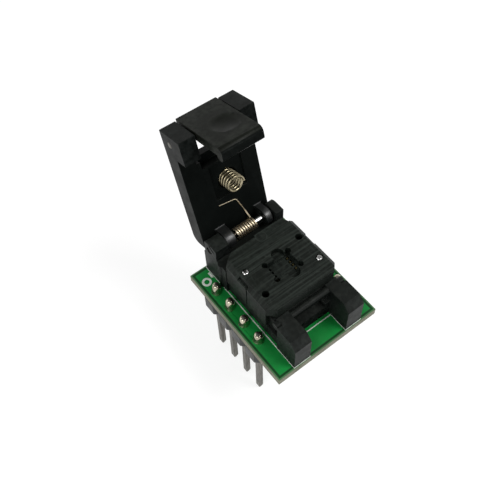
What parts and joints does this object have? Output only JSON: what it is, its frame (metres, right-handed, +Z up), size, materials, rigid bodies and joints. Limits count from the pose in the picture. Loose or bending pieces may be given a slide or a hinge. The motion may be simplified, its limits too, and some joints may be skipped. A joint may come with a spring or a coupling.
{
  "type": "ic programming adapter",
  "caption": "Clamshell test socket for a small leadless chip, open, on a green board with two header pin rows.",
  "frame": {"origin": "centre of the pin field, level with the pin tips", "axes": "+X to the right along the board's front edge, +Y from the latch side towards the hinge, +Z up out of the socket"},
  "size_m": [0.0136, 0.022, 0.0324],
  "materials": {
    "solder_mask": "green solder mask over glass laminate",
    "black_plastic": "matte moulded",
    "strip_plastic": "satin moulded",
    "pin_tin": "tin plated, dull",
    "solder": "bright solder",
    "steel": "polished",
    "spring_steel": "drawn wire, warm tint",
    "gold": "gold plated"
  },
  "bodies": {
    "base": {"circuit_board": "solder_mask", "left_header_strip": "strip_plastic", "right_header_strip": "strip_plastic", "solder_joints": "solder", "socket_base": "black_plastic", "hinge_pin": "steel", "torsion_spring": "spring_steel", "guide_pin_left": "steel", "guide_pin_right": "steel", "header_pin_1": "pin_tin", "header_pin_2": "pin_tin", "header_pin_3": "pin_tin", "header_pin_4": "pin_tin", "header_pin_5": "pin_tin", "header_pin_6": "pin_tin", "header_pin_7": "pin_tin", "header_pin_8": "pin_tin", "contact_1": "gold", "contact_2": "gold", "contact_3": "gold", "contact_4": "gold", "contact_5": "gold", "contact_6": "gold", "contact_7": "gold", "contact_8": "gold", "plate_spring_1": "spring_steel", "plate_spring_2": "spring_steel", "plate_spring_3": "spring_steel", "plate_spring_4": "spring_steel"},
    "plate": {"guide_plate": "black_plastic"},
    "lid": {"lid": "black_plastic", "lid_spring": "spring_steel", "latch_pin": "steel"},
    "latch": {"latch": "black_plastic"}
  },
  "joints": [
    {"name": "lid_hinge", "type": "hinge", "parent": "base", "child": "lid", "pos_m": [0, 0.006, 0.0176], "axis": [1, 0, 0], "range_deg": [0, 104.8], "stiffness_Nm_per_rad": 0.0002, "springref_deg": -34.38, "deforming": ["torsion_spring", "lid_spring"]},
    {"name": "latch_pivot", "type": "hinge", "parent": "lid", "child": "latch", "pos_m": [0, 0.01125, 0.02966], "axis": [1, 0, 0], "range_deg": [-20, 6.5]},
    {"name": "guide_plate_slide", "type": "slide", "parent": "base", "child": "plate", "axis": [0, 0, -1], "range_m": [0, 0.0005], "stiffness_N_per_m": 200, "springref_m": -0.002, "deforming": ["plate_spring_1", "plate_spring_2", "plate_spring_3", "plate_spring_4"]}
  ]
}
